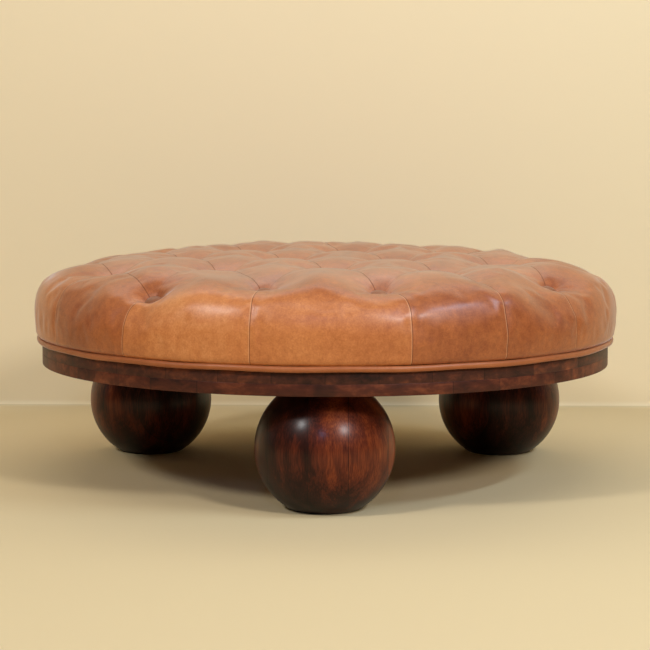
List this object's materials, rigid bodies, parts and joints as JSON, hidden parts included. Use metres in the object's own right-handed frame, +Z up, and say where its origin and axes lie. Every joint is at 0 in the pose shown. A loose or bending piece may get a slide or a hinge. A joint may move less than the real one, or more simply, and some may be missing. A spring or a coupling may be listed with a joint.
{
  "type": "coffee table",
  "caption": "Round low coffee table: a diamond-tufted leather cushion top with buttons and a piped edge, on a stained wooden base of crossed boards and large turned wooden balls.",
  "frame": {"origin": "on the floor under the centre of the round base", "axes": "+Z up; -Y towards the front ball; +X to the right as seen from the front"},
  "size_m": [1.1474, 1.1473, 0.4288],
  "materials": {
    "stained_ball_wood": "dark stain under satin lacquer, turned from glued staves",
    "stained_board_wood": "dark stain under satin lacquer, edge-glued boards",
    "plywood": "raw plywood",
    "cover_leather": "aniline leather, soft sheen, fine grain, tan to reddish brown",
    "foam": "upholstery foam",
    "polyester_wadding": "fluffy polyester wadding",
    "cotton_cord": "twisted cotton",
    "moulded_plastic": "moulded nylon",
    "zinc_steel": "zinc plated",
    "insert_brass": "plain brass"
  },
  "bodies": {
    "root": {"ball_foot_front": "stained_ball_wood", "ball_foot_rear_right": "stained_ball_wood", "ball_foot_rear_left": "stained_ball_wood", "foot_hanger_bolts": "zinc_steel", "foot_threaded_inserts": "insert_brass", "base_lower_layer": "stained_board_wood", "base_upper_layer": "stained_board_wood", "deck_board": "plywood", "deck_screws": "zinc_steel", "deck_screw_washers": "zinc_steel", "welt_cover": "cover_leather", "welt_cord": "cotton_cord", "cover_staples": "zinc_steel", "foam_core": "foam", "wadding": "polyester_wadding", "leather_cover": "cover_leather", "button_caps": "cover_leather", "button_cores": "moulded_plastic", "tufting_twines": "cotton_cord", "twine_washers": "zinc_steel"}
  },
  "joints": []
}
